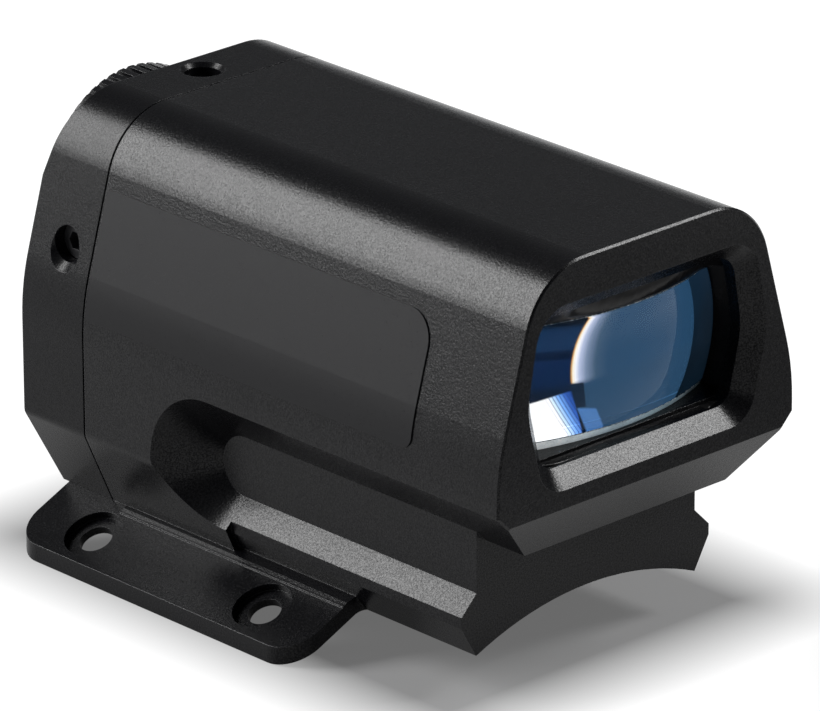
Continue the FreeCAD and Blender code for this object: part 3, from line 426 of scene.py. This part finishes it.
nodeFinishes = {
    "blastedBlack": ["housing"],
    "satinBlack": ["rear_cover"],
    "turnedBlack": ["focus_knob"],
    "innerBlack": ["lens_retainer", "guide_plate", "elevation_frame"],
    "blackOxide": ["elevation_screw", "windage_screw", "cover_screws", "knob_set_screw",
                   "guide_plate_screws"],
    "sealRubber": ["rear_gasket", "knob_seal"],
    "brightSteel": ["guide_pins", "spindle_clip", "emitter_board_screws", "driver_board_screws"],
    "machinedBrass": ["windage_block", "focus_spindle"],
    "machinedAluminium": ["focus_sled"],
    "boardGreen": ["emitter_board", "driver_board"],
    "darkResin": ["emitter"],
    "ivoryPlastic": ["emitter_socket", "driver_socket"],
    "ferriteGrey": ["driver_inductor"],
    "chipBlack": ["driver_chip"],
    "contactBlack": ["contact_block"],
    "contactGold": ["contact_pins"],
    "labelFilm": ["side_label"],
}

for finishName, nodeNames in nodeFinishes.items():
    for nodeName in nodeNames:
        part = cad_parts[nodeName]
        part.data.materials.clear()
        part.data.materials.append(finishes[finishName])
print("metal, rubber and board finishes set")


# lens: polished sphere in front, ground bevel round it with painted light, coated layer inside with
# painted reflections

lensFacts = {
    "middleZ": 0.0203, "lean": -1.2,     # degrees that its flats lean in the window
    "radius": 0.01275, "lowHalf": 0.00588, "highHalf": 0.00550,
    "bevelSide": 0.00048, "bevelLow": 0.00100, "bevelHigh": 0.00062, "bevelDeep": 0.00025,
    "vertexY": -0.03515, "sphereZ": 0.02065, "frontRadius": 0.028, "backY": -0.02775,
    "layerRadius": 0.070, "layerCentre": (0.0025, 0.0376, 0.01465),     # tilted in the lens
    "stations": 300, "rings": 36,
}


def leaned(facts, points):
    a = radians(facts["lean"])
    lift = facts["middleZ"]
    return [(x * cos(a) - z * sin(a), x * sin(a) + z * cos(a) + lift) for x, z in points]


def lensOutline(facts, count, share=0.0, less=0.0):
    # a circle with its top and bottom cut flat; share runs from its rim to the inner edge of the bevel
    points = []
    radius = facts["radius"] - facts["bevelSide"] * share - less
    for i in range(count):
        t = 2 * pi * (i + 0.5) / count
        which = "High" if sin(t) > 0 else "Low"
        half = facts[which.lower() + "Half"] - facts["bevel" + which] * share - less
        reach = radius if abs(sin(t)) * radius <= half else half / abs(sin(t))
        points.append((reach * cos(t), reach * sin(t)))
    return leaned(facts, points)


def sphereY(facts, x, z):
    r = facts["frontRadius"]
    return facts["vertexY"] + r - sqrt(r * r - x * x - (z - facts["sphereZ"]) ** 2)


def layerY(facts, x, z):
    atX, atY, atZ = facts["layerCentre"]
    return atY - sqrt(facts["layerRadius"] ** 2 - (x - atX) ** 2 - (z - atZ) ** 2)


def pieceFrom(name, verts, faces, kinds, materials, flatKinds=()):
    mesh = bpy.data.meshes.new(name)
    mesh.from_pydata(verts, [], faces)
    for material in materials:
        mesh.materials.append(material)
    for polygon, kind in zip(mesh.polygons, kinds):
        polygon.material_index = kind
        polygon.use_smooth = kind not in flatKinds
    mesh.update()
    piece = bpy.data.objects.new(name, mesh)
    bpy.context.scene.collection.objects.link(piece)
    return piece


def rampOf(make, value, stops):
    low, high = stops[0][0], stops[-1][0]
    ramp = make("ShaderNodeValToRGB", {"Fac": stepOf(make, value, low, high)})
    elements = ramp.color_ramp.elements
    while len(elements) < len(stops):
        elements.new(0.5)
    for element, (at, color) in zip(elements, stops):
        element.position = (at - low) / (high - low)
        element.color = (*color, 1)
    return ramp.outputs["Color"]


def arcOf(make, x, z, arc, side):
    # how far x lies left (side -1) or right (side 1) of the arc at this height
    atX, atZ, radius = arc
    up = lessOf(make, z, atZ)
    room = mathOf(make, "MAXIMUM", lessOf(make, radius * radius, timesOf(make, up, up)))
    return lessOf(make, timesOf(make, lessOf(make, x, atX), side), mathOf(make, "SQRT", room))


def insideOf(make, value, edge):
    low = stepOf(make, value, -edge, edge)
    high = rangeOf(make, value, 1 - edge, 1 + edge, 1.0, 0.0)
    return timesOf(make, low, high)


glassLook = {
    "tones": ((0.97, 0.985, 1.0), (0.93, 0.95, 0.97)), "dust": 1500, "dustBand": (0.4, 0.8),
    "gloss": 0.03, "sheen": (0.05, 0.06, 0.08, 1), "ior": 1.52,
}


def glassFinish(look):
    material, make, feed, place = newMaterial("polishedGlass")
    dust = noiseOf(make, place, look["dust"], 4, 0.7)
    feed("Base Color", blendOf(make, stepOf(make, dust, *look["dustBand"]), *look["tones"]))
    feed("Roughness", 0.0)
    feed("Specular IOR Level", look["gloss"])
    feed("Specular Tint", look["sheen"])
    feed("Transmission Weight", 1.0)
    feed("IOR", look["ior"])
    return material


groundLook = {
    "pits": 8000, "pitDepth": 0.00003, "cloud": 500, "pitShare": 0.5,
    "shadeBand": (0.38, 0.62), "shadeShare": 0.45, "shade": (0.05, 0.09, 0.12),
    "paintedGlowAcross": (-0.008, -0.001), "glow": (0.40, 0.05),    # painted glow, most at the left
    "roughBand": (0.3, 0.7), "rough": (0.35, 0.55), "gloss": 0.3,
}

# painted light on the ground bevel, from white at the left to dark at the right, by metres across
paintedLightBevelTones = [
    (-0.010, (1.0, 1.0, 1.0)), (-0.006, (0.92, 0.98, 1.0)), (-0.002, (0.58, 0.72, 0.80)),
    (0.004, (0.44, 0.60, 0.68)), (0.008, (0.26, 0.34, 0.38)), (0.012, (0.05, 0.07, 0.08)),
]


def groundFinishWithPaintedGlow(look):
    material, make, feed, place = newMaterial("groundGlass")
    pits = noiseOf(make, place, look["pits"], 3, 0.7)
    cloud = noiseOf(make, place, look["cloud"], 2, 0.5)
    mixed = blendedOf(make, pits, cloud, look["pitShare"])
    across = make("ShaderNodeSeparateXYZ", {"Vector": place}).outputs["X"]
    shaded = rangeOf(make, mixed, *look["shadeBand"], look["shadeShare"], 0.0)
    color = mixOf(make, shaded, rampOf(make, across, paintedLightBevelTones), look["shade"])
    feed("Base Color", color)
    # painted glow: the bevel glows in its painted tones
    feed("Emission Color", color)
    feed("Emission Strength", rangeOf(make, across, *look["paintedGlowAcross"], *look["glow"]))
    feed("Roughness", rangeOf(make, pits, *look["roughBand"], *look["rough"]))
    feed("Specular IOR Level", look["gloss"])
    feed("Normal", bumpOf(make, pits, look["pitDepth"]))
    return material


# painted glints dotted along the polished edge, and a painted highlight line along the bevel's outer
# edge
paintedRimLooks = {
    # share: how much of the rim stays dark between the painted glints
    "glintDottedEdge": {"dark": (0.03, 0.06, 0.09), "light": (0.75, 0.78, 0.80), "share": 0.50},
    "paintedHighlightEdge": {"dark": (0.20, 0.24, 0.26), "light": (0.80, 0.78, 0.70), "share": 0.38},
}

rimGlintLook = {"scale": 6500, "edge": 0.08, "roughBand": (0.3, 0.7), "rough": (0.2, 0.4), "gloss": 0.3}


def paintedRimFinish(name, look):
    material, make, feed, place = newMaterial(name)
    glintNoise = noiseOf(make, place, rimGlintLook["scale"], 2, 0.7)
    glintMask = stepOf(make, glintNoise, look["share"], look["share"] + rimGlintLook["edge"])
    feed("Base Color", blendOf(make, glintMask, look["dark"], look["light"]))
    feed("Roughness", rangeOf(make, glintNoise, *rimGlintLook["roughBand"], *rimGlintLook["rough"]))
    feed("Specular IOR Level", rimGlintLook["gloss"])
    return material


wallLook = {
    "tones": ((0.002, 0.004, 0.008), (0.006, 0.013, 0.024)), "spread": 900,
    "roughBand": (0.3, 0.7), "rough": (0.3, 0.45), "gloss": 0.1,
}


def wallFinish(look):
    material, make, feed, place = newMaterial("blackenedRim")
    spread = noiseOf(make, place, look["spread"], 2, 0.5)
    feed("Base Color", blendOf(make, spread, *look["tones"]))
    feed("Roughness", rangeOf(make, spread, *look["roughBand"], *look["rough"]))
    feed("Specular IOR Level", look["gloss"])
    return material


# painted reflections in the coated layer, in millimetres across and up from the lens axis
paintedReflectionFacts = {
    "leftArc": (0.83, -0.71, 5.12),      # middle and radius of the painted pale crescent's rim
    "rightArc": (-0.90, 0.78, 10.10),    # beyond it the layer is painted dark and glows
    "crescentEnd": (-1.6, -1.1),         # heights over which the crescent ends
    "mainTone": (0.021, 0.061, 0.120),
    "endSlant": (0.137, 1.0, 0.87),      # the stripes of the left end run along this slant
    "rimSlant": (0.034, 1.0, 4.86),      # below it the bevel hides the room from the layer: painted glow
    "hazeTone": (0.012, 0.040, 0.085), "haze": 260, "hazeBand": (0.35, 0.65), "hazeShare": 0.10,
    "blur": 0.05,                        # softness of its edges
    "roughBand": (0.3, 0.7), "rough": (0.03, 0.07),
    # painted reflection panes at the low left: slants that run from 0 to 1 across and down the pane
    "darkAcross": (0.8159, 0.0822, 3.609), "darkDown": (-0.0622, -0.5016, -0.897),
    "paintedShadeTone": (0.005, 0.014, 0.030),
    "blueAcross": (0.6126, 0.2808, 3.213), "blueDown": (-0.1338, -0.5487, -2.341),
    "blueTone": (0.075, 0.20, 0.47), "blueShare": 0.85,
    "paleAcross": (0.3002, 0.0892, 2.433), "paleDown": (0.0218, -0.2916, -0.435),
    "paleLean": 0.24,                    # how far its tones lean over, from top to bottom
    "lines": 10.5, "lineBend": -0.8, "lineGap": 0.80, "lineShare": 0.85,
    "lineStart": (0.26, 0.40), "lineTone": (0.010, 0.040, 0.20),
}

# painted reflection tones by distance from the rim of the crescent
paintedCrescentTones = [
    (-6.0, (0.019, 0.060, 0.122)), (-3.6, (0.023, 0.064, 0.126)), (-2.4, (0.045, 0.088, 0.148)),
    (-1.5, (0.17, 0.23, 0.34)), (-0.85, (0.44, 0.50, 0.68)), (-0.50, (0.86, 0.87, 0.92)),
    (-0.26, (0.92, 0.82, 0.62)), (-0.10, (0.48, 0.24, 0.07)), (0.02, (0.004, 0.010, 0.026)),
]

# painted reflection and shade tones of the left end, by height
paintedEndTones = [
    (-5.5, (0.002, 0.006, 0.016)), (-1.6, (0.002, 0.006, 0.018)), (-0.8, (0.002, 0.013, 0.048)),
    (0.9, (0.003, 0.015, 0.055)), (1.2, (0.001, 0.006, 0.022)), (1.6, (0.002, 0.009, 0.032)),
    (1.9, (0.006, 0.026, 0.072)), (3.3, (0.005, 0.023, 0.064)), (3.7, (0.002, 0.005, 0.011)),
    (4.6, (0.003, 0.004, 0.006)),
]

# painted shade tones beyond the right arc, by height; there the layer glows in them
paintedShadeTones = [(-5.5, (0.003, 0.008, 0.014)), (-2.0, (0.005, 0.011, 0.019)), (4.5, (0.007, 0.020, 0.040))]

# painted reflection tones across the pale pane
paintedPaneTones = [
    (-0.4, (1.0, 1.0, 1.0)), (0.34, (1.0, 1.0, 1.0)), (0.44, (0.62, 0.82, 1.0)),
    (0.60, (0.20, 0.44, 0.94)), (0.80, (0.035, 0.12, 0.48)), (1.0, (0.010, 0.045, 0.22)),
]


def paintedPalePane(make, across, down, facts):
    # a painted reflection: tones from white to deep blue, with fine dark lines that fan out
    leaning = lessOf(make, across, timesOf(make, down, facts["paleLean"]))
    bend = timesOf(make, timesOf(make, down, down), facts["lineBend"])
    run = mathOf(make, "ADD", timesOf(make, leaning, facts["lines"]), bend)
    line = mathOf(make, "GREATER_THAN", mathOf(make, "FRACT", run), facts["lineGap"])
    line = timesOf(make, line, rangeOf(make, leaning, *facts["lineStart"], 0.0, facts["lineShare"]))
    return mixOf(make, line, rampOf(make, leaning, paintedPaneTones), facts["lineTone"])


def coatingWithPaintedReflections(facts, axisZ):
    material, make, feed, place = newMaterial("blueCoatingPaintedReflections")
    inputs = {0: place, 1: (0, 0, axisZ)}
    centred = make("ShaderNodeVectorMath", inputs, operation="SUBTRACT").outputs[0]
    split = make("ShaderNodeSeparateXYZ", {"Vector": centred})
    x = timesOf(make, split.outputs["X"], 1000.0)        # in millimetres
    z = timesOf(make, split.outputs["Z"], 1000.0)
    blur = facts["blur"]
    haze = noiseOf(make, place, facts["haze"], 2, 0.5)
    left = arcOf(make, x, z, facts["leftArc"], -1.0)
    right = arcOf(make, x, z, facts["rightArc"], 1.0)
    # painted reflections: crescent and main tone, then the left end, then the dark end beyond the right
    # arc
    color = rampOf(make, left, paintedCrescentTones)
    color = mixOf(make, rangeOf(make, z, *facts["crescentEnd"], 1.0, 0.0), color, facts["mainTone"])
    end = rampOf(make, slantOf(make, x, z, facts["endSlant"]), paintedEndTones)
    color = mixOf(make, stepOf(make, left, -0.03, blur), color, end)
    paintedDarkGlow = stepOf(make, right, -blur, blur)
    color = mixOf(make, paintedDarkGlow, color, rampOf(make, z, paintedShadeTones))
    # three panes of painted reflection low at the left
    across = insideOf(make, slantOf(make, x, z, facts["darkAcross"]), blur)
    down = insideOf(make, slantOf(make, x, z, facts["darkDown"]), 0.03)
    color = mixOf(make, timesOf(make, across, down), color, facts["paintedShadeTone"])
    across = insideOf(make, slantOf(make, x, z, facts["blueAcross"]), 0.06)
    down = stepOf(make, slantOf(make, x, z, facts["blueDown"]), -blur, blur)
    blue = timesOf(make, timesOf(make, across, down), facts["blueShare"])
    color = mixOf(make, blue, color, facts["blueTone"])
    across = slantOf(make, x, z, facts["paleAcross"])
    down = slantOf(make, x, z, facts["paleDown"])
    pale = timesOf(make, rangeOf(make, across, 0.98, 1.02, 1.0, 0.0), stepOf(make, down, -0.02, 0.02))
    color = mixOf(make, pale, color, paintedPalePane(make, across, down, facts))
    hazy = rangeOf(make, haze, *facts["hazeBand"], 0.0, facts["hazeShare"])
    color = mixOf(make, hazy, color, facts["hazeTone"])
    # painted glow where the glass's rim hides the room from the layer, and beyond the right arc
    edge = rangeOf(make, slantOf(make, x, z, facts["rimSlant"]), -blur, blur, 1.0, 0.0)
    feed("Emission Color", color)
    feed("Emission Strength", mathOf(make, "MAXIMUM", edge, paintedDarkGlow))
    feed("Base Color", mixOf(make, paintedDarkGlow, color, (0.0, 0.0, 0.0)))
    feed("Roughness", rangeOf(make, haze, *facts["roughBand"], *facts["rough"]))
    feed("Metallic", 1.0)
    return material


# what the bevel is made of, from its polished edge outwards: width left, depth reached, finish
bevelSteps = [(0.90, 0.10, "glintDottedEdge"), (0.10, 0.90, "groundGlass"), (0.0, 1.0, "paintedHighlightEdge")]


def buildLens(facts):
    materials = {
        "polishedGlass": glassFinish(glassLook), "groundGlass": groundFinishWithPaintedGlow(groundLook),
        "blackenedRim": wallFinish(wallLook),
        "blueCoatingPaintedReflections": coatingWithPaintedReflections(paintedReflectionFacts, facts["sphereZ"]),
    }
    materials.update({name: paintedRimFinish(name, look) for name, look in paintedRimLooks.items()})
    kindOf = {name: i for i, name in enumerate(materials)}
    flatKinds = [kind for name, kind in kindOf.items() if name not in ("polishedGlass", "blueCoatingPaintedReflections")]
    n = facts["stations"]
    rings = facts["rings"]
    verts, faces, kinds = [], [], []

    def ring(points, yOf):
        start = len(verts)
        verts.extend((x, yOf(x, z), z) for x, z in points)
        return start

    def band(first, second, finish):
        for i in range(n):
            j = (i + 1) % n
            faces.append((first + i, second + i, second + j, first + j))
            kinds.append(kindOf[finish])

    def fan(centre, first, finish, turned=False):
        for i in range(n):
            j = (i + 1) % n
            faces.append((centre, first + j, first + i) if turned else (centre, first + i, first + j))
            kinds.append(kindOf[finish])

    def disc(points, yOf, finish):
        # a middle point and rings out to the points; gives the last ring
        centre = ring([(0, facts["sphereZ"])], yOf)
        steps = []
        for k in range(1, rings + 1):
            share = k / rings
            inner = [(x * share, facts["sphereZ"] + (z - facts["sphereZ"]) * share) for x, z in points]
            steps.append(ring(inner, yOf))
        fan(centre, steps[0], finish)
        for first, second in zip(steps, steps[1:]):
            band(first, second, finish)
        return steps[-1]

    last = disc(lensOutline(facts, n, 1.0), lambda x, z: sphereY(facts, x, z), "polishedGlass")
    for width, depth, finish in bevelSteps:
        deep = facts["bevelDeep"] * depth
        step = ring(lensOutline(facts, n, width), lambda x, z: sphereY(facts, x, z) + deep)
        band(last, step, finish)
        last = step
    rear = ring(lensOutline(facts, n), lambda x, z: facts["backY"])
    band(last, rear, "blackenedRim")
    centre = ring([(0, facts["middleZ"])], lambda x, z: facts["backY"])
    fan(centre, rear, "blackenedRim", True)
    disc(lensOutline(facts, n, 0.5), lambda x, z: layerY(facts, x, z), "blueCoatingPaintedReflections")
    return pieceFrom("lens_body", verts, faces, kinds, materials.values(), flatKinds)


lensPiece = buildLens(lensFacts)
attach(lensPiece, "body")
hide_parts("lens")
print("lens made")


# sealant round the lens, smeared forward over the window's throat

beadFacts = {
    "stations": 600, "rows": 8, "backY": -0.0278,
    "sideReach": 0.01330, "lowReach": 0.00632, "highReach": 0.00648,   # to the walls, from the axis
    "sideHalf": 0.00588,                 # half height of the walls at the ends
    "lowFront": -0.03555, "highFront": -0.03520, "sideFront": -0.03470,
    "lap": (-0.002, 0.003),              # it laps over the bevel from here up
    "lapShare": 0.93,
    "ends": (0.0078, 0.0108),            # across, where the flats pass into the round ends
    "inset": 0.00005,                    # into the lens, so that no gap shows
    "proud": 0.00004,                    # its edge stands this far before the glass
    "wave": 0.00016, "waveFront": 1.6, "waveSwell": 1.2,
    "waves": ((2.6, 0.4, 1.0), (7, 2.7, 0.4)),      # fineness, place in the noise, share
    "slope": 1.25, "swellEnd": 1.05,
    "tones": ((0.0022, 0.0022, 0.0026), (0.0060, 0.0060, 0.0066)), "smear": 600, "gloss": 0.14,
    "roughBand": (0.3, 0.7), "rough": (0.16, 0.30), "smearDepth": 0.00003, "bump": 0.8,
}


def sealantFinish(facts):
    material, make, feed, place = newMaterial("blackSealant")
    smear = noiseOf(make, place, facts["smear"], 3, 0.5)
    feed("Base Color", blendOf(make, smear, *facts["tones"]))
    feed("Roughness", rangeOf(make, smear, *facts["roughBand"], *facts["rough"]))
    feed("Specular IOR Level", facts["gloss"])
    feed("Normal", bumpOf(make, smear, facts["smearDepth"], facts["bump"]))
    return material


def easeOf(value, low, high):
    t = min(1.0, max(0.0, (value - low) / (high - low)))
    return t * t * (3 - 2 * t)


def wobbleOf(facts, t):
    # long waves and short ones along the bead
    wobble = 0.0
    for fine, place, share in facts["waves"]:
        wobble += share * noise.noise(Vector((fine * cos(t), fine * sin(t), place)))
    return wobble


def beadSection(facts, lens, brim, lapped, wobble):
    # from the lens out to the wall, at one station
    axisZ = lens["sphereZ"]
    low = brim[1] < axisZ
    lap = easeOf(brim[1] - axisZ, *facts["lap"])
    xi = brim[0] + (lapped[0] - brim[0]) * lap
    zi = brim[1] + (lapped[1] - brim[1]) * lap
    end = easeOf(abs(xi), *facts["ends"])          # 0 along the flats, 1 round the ends
    grow = facts["sideReach"] / sqrt(xi * xi + (zi - axisZ) ** 2)
    zFlat = axisZ + (-facts["lowReach"] if low else facts["highReach"])
    zSide = axisZ + max(-facts["sideHalf"], min(facts["sideHalf"], (zi - axisZ) * grow))
    xo = xi * (1 + end * (grow - 1))
    zo = zFlat * (1 - end) + zSide * end
    frontFlat = facts["lowFront"] if low else facts["highFront"]
    frontFlat += facts["wave"] * facts["waveFront"] * wobble
    frontOut = frontFlat * (1 - end) + facts["sideFront"] * end
    lensY = sphereY(lens, xi, zi) + lens["bevelDeep"] * (1 - lap) - facts["proud"]
    swell = facts["wave"] * (1.0 + facts["waveSwell"] * wobble)
    rows = [(0.0, facts["backY"]), (0.0, lensY + facts["inset"])]
    for k in range(1, facts["rows"] + 1):
        s = k / facts["rows"]
        bulge = sin(pi * min(1, s * facts["swellEnd"])) * swell
        out = s ** facts["slope"]
        rows.append((s, lensY * (1 - out) + frontOut * out - bulge))
    rows.append((1.0, facts["backY"]))
    return [(xi + (xo - xi) * s, y, zi + (zo - zi) * s) for s, y in rows]


def buildBead(facts, lens):
    n = facts["stations"]
    brim = lensOutline(lens, n, 0.0, facts["inset"])
    lapped = lensOutline(lens, n, facts["lapShare"])
    verts, faces = [], []
    for i in range(n):
        wobble = wobbleOf(facts, 2 * pi * (i + 0.5) / n)
        verts.extend(beadSection(facts, lens, brim[i], lapped[i], wobble))
    m = len(verts) // n
    for i in range(n):
        j = (i + 1) % n
        for k in range(m):
            h = (k + 1) % m
            faces.append((i * m + k, j * m + k, j * m + h, i * m + h))
    return pieceFrom("sealant_bead", verts, faces, [0] * len(faces), [sealantFinish(facts)])


bead = buildBead(beadFacts, lensFacts)
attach(bead, "body")
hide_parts("lens_seal")
print("sealant bead made")
